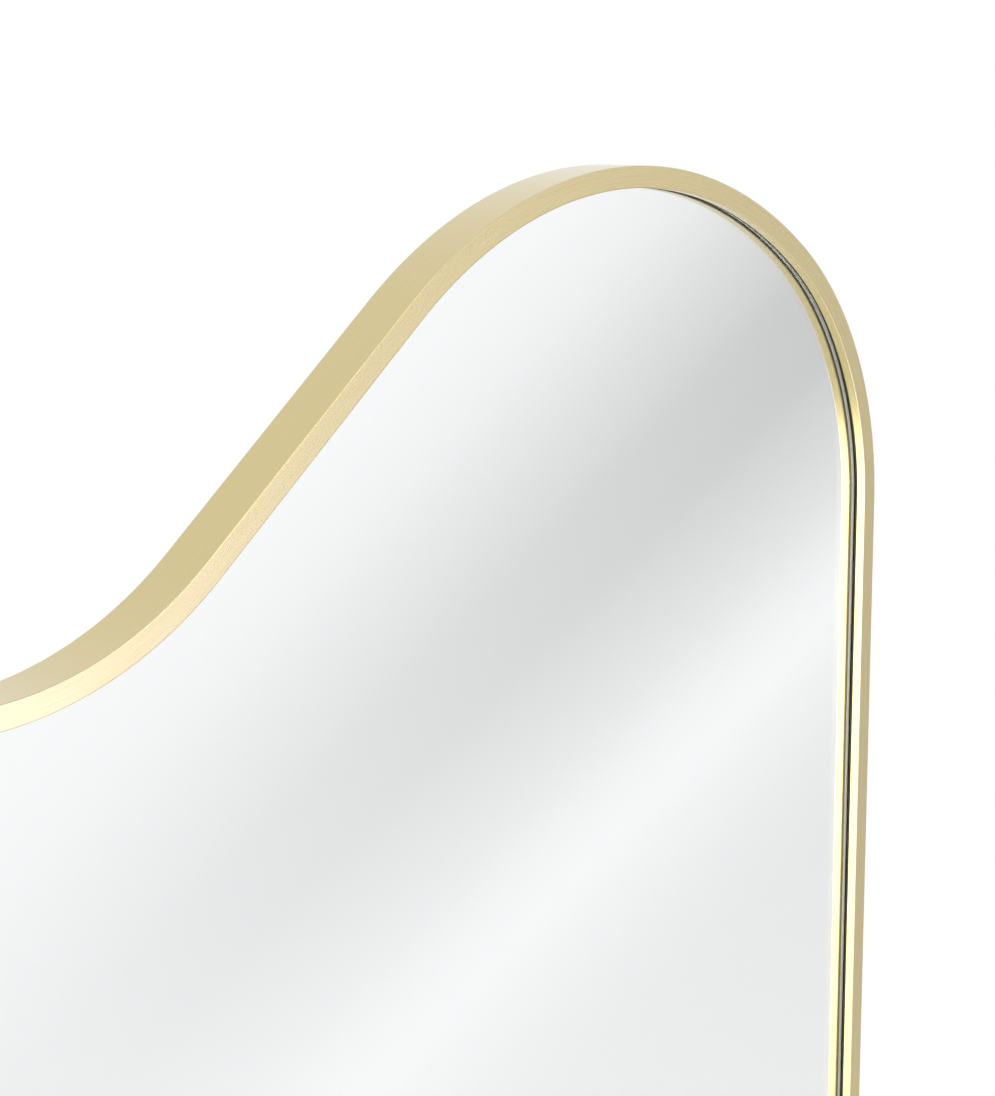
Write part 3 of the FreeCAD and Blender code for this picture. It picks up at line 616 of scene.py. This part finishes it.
def frame_section():
    """Section of the frame as (inset, depth): face with a drop edge, outer wall and rear lip."""
    lip_inset = WALL + LIP_WIDTH
    corners = [
        (0, 0), (FACE_WIDTH, 0), (FACE_WIDTH, FACE_THICKNESS), (WALL, FACE_THICKNESS),
        (WALL, LIP_FRONT), (lip_inset, LIP_FRONT), (lip_inset, LIP_REAR), (WALL, LIP_REAR),
        (WALL, FRAME_DEPTH), (0, FRAME_DEPTH)]
    edges = [OUTER_EDGE_ROUND, INNER_EDGE_ROUND, LEDGE_ROUND]
    folds = [FOLD_ROUND] * (len(corners) - len(edges))
    return filleted(corners, edges + folds)


def tape_section():
    """Section of the tape as (inset, depth): a flat bar between the frame's ledge and the glass."""
    corners = [(TAPE_OUTER, FACE_THICKNESS), (TAPE_INNER, FACE_THICKNESS),
               (TAPE_INNER, GLASS_FRONT), (TAPE_OUTER, GLASS_FRONT)]
    return filleted(corners, TAPE_EDGE_ROUND, TAPE_FILLET_STEPS, support=TAPE_SUPPORT)


def make_frame(points, normals):
    """The profile and the tape on its ledge, both carried round the outline.

    The profile is open at the butt joint, and the tape runs past it.
    """
    nothing = np.zeros(len(points))
    centre = np.stack([points[:, 0], nothing + FRONT, points[:, 1]], axis=1)
    across = np.stack([normals[:, 0], nothing, normals[:, 1]], axis=1)
    upright = np.broadcast_to(REARWARD, centre.shape)
    profile = carried("bent_profile", frame_section(), centre, across, upright)
    give(profile, pale_gold(), "frame_profile")
    band = carried("tape_band", tape_section(), centre, across, upright, closed=True)
    give(band, glazing_tape(), "glazing_tape")


def paint_rim(pane, paint):
    """Gives a second finish to the faces that look mostly sideways, which are the rim of a plate."""
    normals = np.empty(len(pane.data.polygons) * 3, np.float32)
    pane.data.polygons.foreach_get("normal", normals)
    on_rim = np.abs(normals[1::3]) < RIM_SLANT
    pane.data.materials.append(paint)
    pane.data.polygons.foreach_set("material_index", on_rim.astype(np.int32))


def make_glass(points, normals):
    """The float glass with its rim painted dark as shade of the gap, a hair behind the tape, and the
    silver close behind it.
    """
    glass_front = GLASS_FRONT + TAPE_GAP
    silver_front = GLASS_REAR - SILVER_THICKNESS
    pane = flat_plate("float_pane", points, normals, GLASS_INSET, glass_front,
                      silver_front - SILVER_GAP, GLASS_EDGE_ROUND)
    give(pane, clear_glass(), "mirror_glass")
    # the rim's dark paint is sealing paint and painted shade of the gap between the frame and the glass
    paint_rim(pane, rim_seal_and_gap_shade())
    coat = flat_plate("silver_sheet", points, normals, GLASS_INSET + SILVER_SETBACK, silver_front,
                      GLASS_REAR, SILVER_EDGE_ROUND)
    give(coat, silver(), "mirror_glass")


def make_board(points, normals):
    """The back board with lightly broken edges."""
    board = flat_plate("rear_board", points, normals, GLASS_INSET, BOARD_FRONT, BOARD_REAR,
                       BOARD_EDGE_ROUND)
    give(board, fibreboard(), "back_board")


def make_rail(name, coat):
    """A cross rail: a strip along X with two gentle bends at each end, where it steps back."""
    low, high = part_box(name)
    end = high.x
    inner_bend, outer_bend = RAIL_BENDS
    middle, stepped = FRONT + RAIL_MIDDLE_DEPTH, FRONT + RAIL_END_DEPTH
    corners = [(-end, stepped), (-outer_bend, stepped), (-inner_bend, middle),
               (inner_bend, middle), (outer_bend, stepped), (end, stepped)]
    path = filleted(corners, RAIL_BEND_ROUND, RAIL_BEND_STEPS, closed=False)
    section = bar_section(RAIL_WIDTH, RAIL_THICKNESS, RAIL_EDGE_ROUND)
    place = (0, 0, (low.z + high.z) / 2)
    rail = bent_strip(name + "_strip", path, section, place, side=(0, 0, 1), run=(1, 0, 0))
    give(rail, coat, name)


def ring_path():
    """Middle line of a D ring's wire: a bar, a small corner, a half circle and a small corner."""
    end = BOW_RADIUS - CORNER_BEND
    bar, _ = line_run((-end, 0), (end, 0), BAR_POINTS)
    first_bend, _ = arc_run((end, CORNER_BEND), CORNER_BEND, -90, 0)
    bow, _ = arc_run((0, CORNER_BEND), BOW_RADIUS, 0, 180)
    second_bend, _ = arc_run((-end, CORNER_BEND), CORNER_BEND, 180, 270)
    arcs = [arc[::RING_THINNING] for arc in (first_bend, bow, second_bend)]
    path = np.concatenate([bar] + arcs)
    return path[apart(path, closed=True)]


def strap_path():
    """Middle line of the folded strap's strip: front layer, round the ring's bar, rear layer.

    The eye is an arc about the bar. The neck is an arc that touches both the eye and the rear layer.
    """
    layer = -EYE_RADIUS + LAYER_GAP
    neck_y = layer + NECK_RADIUS
    neck_r = -math.sqrt((EYE_RADIUS + NECK_RADIUS) ** 2 - neck_y ** 2)
    meet = math.degrees(math.atan2(neck_y, neck_r))
    front, _ = line_run((-STRAP_LENGTH, -EYE_RADIUS), (0, -EYE_RADIUS), LAYER_POINTS)
    eye, _ = arc_run((0, 0), EYE_RADIUS, -90, meet)
    neck, _ = arc_run((neck_r, neck_y), NECK_RADIUS, meet - 180, -90)
    rear, _ = line_run((neck_r, layer), (-STRAP_LENGTH, layer), LAYER_POINTS)
    path = np.concatenate([front, eye[::STRAP_THINNING], neck[::STRAP_THINNING], rear])
    return path[apart(path, SAME_STRAP_POINT)]


def make_hanger(name, place, side, run, zinc, nickel):
    """A D ring and its strap. The ring's bar lies at a place, along the side direction."""
    ring = ring_path()
    along = headings(ring, closed=True)
    side, run = np.asarray(side, float), np.asarray(run, float)
    centre = np.asarray(place) + ring[:, :1] * side + ring[:, 1:] * run
    out = along[:, 1:] * side - along[:, :1] * run
    upright = np.broadcast_to(REARWARD, centre.shape)
    wire = carried(name + "_bent_ring", round_section(WIRE_RADIUS), centre, out, upright,
                   closed=True, body=name + "_ring_body")
    give(wire, nickel, name + "_ring")
    section = bar_section(STRAP_WIDTH, STRAP_SHEET, STRAP_EDGE_ROUND)
    strap = bent_strip(name + "_folded_strap", strap_path(), section, place, side, run)
    give(strap, zinc, name + "_strap")


def make_hangers(zinc, nickel):
    """Four hangers: two point up on the upper rail, and one on each rail points to the side."""
    depth = FRONT + BAR_DEPTH
    for name in ("upper_left", "upper_right"):
        low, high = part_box(name + "_ring")
        place = ((low.x + high.x) / 2, depth, low.z + WIRE_RADIUS)
        make_hanger(name, place, (1, 0, 0), (0, 0, 1), zinc, nickel)
    for name in ("side_upper", "side_lower"):
        low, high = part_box(name + "_ring")
        place = (high.x - WIRE_RADIUS, depth, (low.z + high.z) / 2)
        make_hanger(name, place, (0, 0, 1), (-1, 0, 0), zinc, nickel)


def make_bumpers():
    """Four discs with a rounded rear edge: a profile of (radius, y) turned about Y at four places."""
    low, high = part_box("wall_bumpers")
    turn = np.radians(np.linspace(0, 90, BUMPER_POINTS))[1:]
    edge, bend = BUMPER_RADIUS - BUMPER_ROUND, high.y - BUMPER_ROUND
    radius = np.concatenate([[edge, BUMPER_RADIUS, BUMPER_RADIUS], edge + BUMPER_ROUND * np.cos(turn)])
    y = np.concatenate([[low.y, low.y, bend], bend + BUMPER_ROUND * np.sin(turn)])
    angle = (np.arange(BUMPER_SIDES) * 2 * math.pi / BUMPER_SIDES)[:, None]
    levels = np.broadcast_to(y, (BUMPER_SIDES, len(y)))
    disc = np.stack([np.cos(angle) * radius, levels, np.sin(angle) * radius], axis=2)
    rows, columns = disc.shape[:2]
    disc = np.concatenate([disc.reshape(-1, 3), [[0, low.y, 0], [0, high.y, 0]]])
    here = np.arange(rows) * columns
    ahead = np.roll(here, -1)
    middle = np.full(rows, rows * columns)
    quads = grid_faces(rows, columns, True, False)
    front_fan = np.stack([middle, ahead, here], axis=1)
    rear_fan = np.stack([middle + 1, here + columns - 1, ahead + columns - 1], axis=1)
    reach, level = high.x - BUMPER_RADIUS, high.z - BUMPER_RADIUS
    places = [(x, 0, z) for z in (-level, level) for x in (-reach, reach)]
    points = np.concatenate([disc + np.array(place) for place in places])
    faces = []
    for first in range(0, len(points), len(disc)):
        for part in (quads, front_fan, rear_fan):
            faces += (part + first).tolist()
    give(finished("bumper_discs", points, faces), milky_rubber(), "wall_bumpers")


def make_back_parts():
    """Rails, hangers and bumpers, and finishes for the solids that keep their own shape."""
    zinc = plain_steel("zinc_steel", (0.56, 0.57, 0.58), roughness=0.34)
    spring = plain_steel("blue_spring_steel", (0.34, 0.36, 0.40), roughness=0.3)
    nickel = plain_steel("nickel_steel", (0.72, 0.70, 0.66), roughness=0.16)
    key = plain_steel("key_alloy", (0.66, 0.66, 0.66), roughness=0.4)
    rubber = soft_skin("black_rubber", (0.02, 0.02, 0.02), roughness=0.65)
    foam = soft_skin("grey_foam", (0.15, 0.15, 0.155), roughness=0.9)
    finishes = {
        "joint_key": key, "joint_key_screws": zinc, "joint_plate": zinc, "joint_plate_screws": zinc,
        "glass_edge_blocks": rubber, "foam_border": foam, "spring_clips": spring,
        "rail_screws": zinc, "rail_pads": foam, "hanger_screws": zinc,
    }
    for name, material in finishes.items():
        NODES[name].data.materials.clear()
        NODES[name].data.materials.append(material)
    coat = powder_coat()
    for name in ("upper_rail", "lower_rail"):
        make_rail(name, coat)
    make_hangers(zinc, nickel)
    make_bumpers()


# ---------------------------------------------------------------- studio

# camera: place, how far it looks down and to the right of straight ahead, lens and sensor in mm
CAMERA_PLACE = (-0.89084, -0.80993, 0.54288)
CAMERA_DOWN, CAMERA_RIGHT = 10.1058, 50.5547
CAMERA_LENS, CAMERA_SENSOR = 86.75, 36.0

# floor: height, radius, angle between corners of its rim, and the shares of its radius between
# which it fades out
FLOOR_HEIGHT, FLOOR_RADIUS, FLOOR_STEP = -0.72, 1.9, 4
FLOOR_FADE = 0.45, 0.95

# lamp: place, side length and power in watts
LAMP_PLACE, LAMP_SIZE, LAMP_POWER = (-0.6, -0.6, 2.2), 1.6, 12

# brightness of the studio along a slanting direction, which shows as soft shades in the mirror
SLANT = (0.3594, 0.6302, -0.6892)
SLANT_REACH = 0.4
SLANT_BRIGHTNESS = (
    (-0.30, 1.00), (-0.072, 0.99), (-0.034, 0.91), (0.004, 0.79), (0.025, 0.755), (0.045, 0.775),
    (0.08, 0.89), (0.104, 0.985), (0.118, 0.96), (0.137, 0.91), (0.165, 0.875), (0.30, 0.90))
# how strong the shades are at two places from the upper right of the view to the lower left
SHADE_RUN = (-0.5416, -0.4608, -0.7039)
SHADE_PLACES, SHADE_DEPTHS = (-0.2, 0.25), (1.66, 0.38)
# window, soft box and dark flag: direction, inner and outer half angle, brightness added
ROOM_BOXES = (
    ((0.325, -0.934, -0.15), 0, 19.5, 7.2),
    ((-0.845, -0.51, -0.12), 10, 38, 2.9),
    ((0.95, -0.08, -0.30), 8, 26, -1.0),
)
WHITE, SKYLIGHT = (1, 1, 1), (0.93, 0.99, 2.1)
# where the plain white behind the mirror starts and is full, by how far a direction points there
BEHIND = -0.12, 0.05


def make_camera():
    """The photograph's view, worked out from the frame's strips of constant width."""
    data = bpy.data.cameras.new("camera")
    data.lens = CAMERA_LENS
    data.sensor_width = CAMERA_SENSOR
    camera = bpy.data.objects.new("camera", data)
    camera.location = CAMERA_PLACE
    camera.rotation_euler = (math.radians(90 - CAMERA_DOWN), 0, -math.radians(CAMERA_RIGHT))
    bpy.context.scene.collection.objects.link(camera)
    bpy.context.scene.camera = camera


def make_floor():
    """A pale round floor that fades out at its rim."""
    angle = np.radians(np.arange(0, 360, FLOOR_STEP))
    rim = np.stack([FLOOR_RADIUS * np.cos(angle), FLOOR_RADIUS * np.sin(angle),
                    np.full(len(angle), FLOOR_HEIGHT)], axis=1)
    mesh = bpy.data.meshes.new("floor")
    mesh.from_pydata(rim.tolist(), [], [list(range(len(rim)))])
    floor = bpy.data.objects.new("floor", mesh)
    bpy.context.scene.collection.objects.link(floor)
    finish = Finish("pale_floor")
    finish.set(Base_Color=(0.86, 0.86, 0.85), Roughness=0.9)
    length = finish.node("ShaderNodeVectorMath", operation="LENGTH")
    finish.join(finish.place((1, 1, 0)), length.inputs[0])
    start, stop = (share * FLOOR_RADIUS for share in FLOOR_FADE)
    mixed = finish.node("ShaderNodeMixShader")
    finish.join(finish.spread(length.outputs["Value"], 0.0, 1.0, start, stop), mixed.inputs["Fac"])
    finish.join(finish.shader.outputs["BSDF"], mixed.inputs[1])
    finish.join(finish.node("ShaderNodeBsdfTransparent").outputs["BSDF"], mixed.inputs[2])
    finish.join(mixed.outputs["Shader"], finish.nodes["Material Output"].inputs["Surface"])
    floor.data.materials.append(finish.material)


def make_world():
    """Soft studio light: white behind the mirror, slanting soft shades in front of it.

    Its brightness depends on the direction alone: white, less the shades of the slanting curve,
    plus the room's boxes, blended to plain white towards the wall. The window is bluish.
    The camera itself sees white everywhere.
    """
    world = bpy.data.worlds.new("studio")
    bpy.context.scene.world = world
    world.use_nodes = True
    studio = Wiring(world.node_tree)
    where = studio.node("ShaderNodeTexCoord").outputs["Generated"]

    def toward(direction):
        """How far the seen direction lies along another."""
        made = studio.node("ShaderNodeVectorMath", operation="DOT_PRODUCT")
        studio.join(where, made.inputs[0])
        made.inputs[1].default_value = direction
        return made.outputs["Value"]

    curve = studio.node("ShaderNodeValToRGB")
    curve.color_ramp.interpolation = "CARDINAL"
    elements = curve.color_ramp.elements
    elements[0].color = (*[SLANT_BRIGHTNESS[0][1]] * 3, 1)
    elements[1].color = (*[SLANT_BRIGHTNESS[-1][1]] * 3, 1)
    for slant, value in SLANT_BRIGHTNESS:
        elements.new((slant + SLANT_REACH) / (2 * SLANT_REACH)).color = (value, value, value, 1)
    slant_share = studio.maths("MULTIPLY_ADD", toward(SLANT), 0.5 / SLANT_REACH, 0.5)
    studio.join(slant_share, curve.inputs["Fac"])

    strength = studio.spread(toward(SHADE_RUN), *SHADE_DEPTHS, *SHADE_PLACES)
    dip = studio.maths("SUBTRACT", 1.0, curve.outputs["Color"])
    total = studio.maths("SUBTRACT", 1.0, studio.maths("MULTIPLY", dip, strength))
    spots = []
    for direction, inner, outer, added in ROOM_BOXES:
        length = math.hypot(*direction)
        unit = tuple(part / length for part in direction)
        start, stop = math.cos(math.radians(outer)), math.cos(math.radians(inner))
        spots.append(studio.spread(toward(unit), 0.0, 1.0, start, stop, "SMOOTHSTEP"))
        total = studio.maths("ADD", total, studio.maths("MULTIPLY", spots[-1], added))
    behind = studio.spread(toward(tuple(REARWARD)), 0.0, 1.0, *BEHIND, "SMOOTHSTEP")
    before = studio.maths("SUBTRACT", 1.0, behind)
    room = studio.maths("ADD", studio.maths("MULTIPLY", total, before), behind)

    seen = studio.node("ShaderNodeLightPath").outputs["Is Camera Ray"]
    unseen = studio.maths("SUBTRACT", 1.0, seen)
    background = studio.nodes["Background"]
    light = studio.maths("ADD", studio.maths("MULTIPLY", room, unseen), seen)
    studio.join(light, background.inputs["Strength"])
    window = studio.maths("MULTIPLY", spots[0], unseen)
    studio.join(studio.blend(window, WHITE, SKYLIGHT), background.inputs["Color"])


def make_lamp():
    """A square soft lamp above the left front, facing the middle of the mirror."""
    data = bpy.data.lights.new("top_lamp", "AREA")
    data.size = LAMP_SIZE
    data.energy = LAMP_POWER
    lamp = bpy.data.objects.new("top_lamp", data)
    lamp.location = LAMP_PLACE
    x, y, z = (-part for part in LAMP_PLACE)
    lamp.rotation_euler = (math.atan2(math.hypot(x, y), -z), 0, math.atan2(y, x) - math.pi / 2)
    bpy.context.scene.collection.objects.link(lamp)


# ---------------------------------------------------------------- the whole scene

make_camera()
make_world()
make_floor()
make_lamp()
bpy.context.scene.view_settings.view_transform = "Standard"
# light that bounced off the satin frame still passes the clear glass unblurred
bpy.context.scene.cycles.blur_glossy = 0.0

outline_points, outline_normals = whole_outline()
make_frame(outline_points, outline_normals)
make_glass(outline_points, outline_normals)
make_board(outline_points, outline_normals)
make_back_parts()
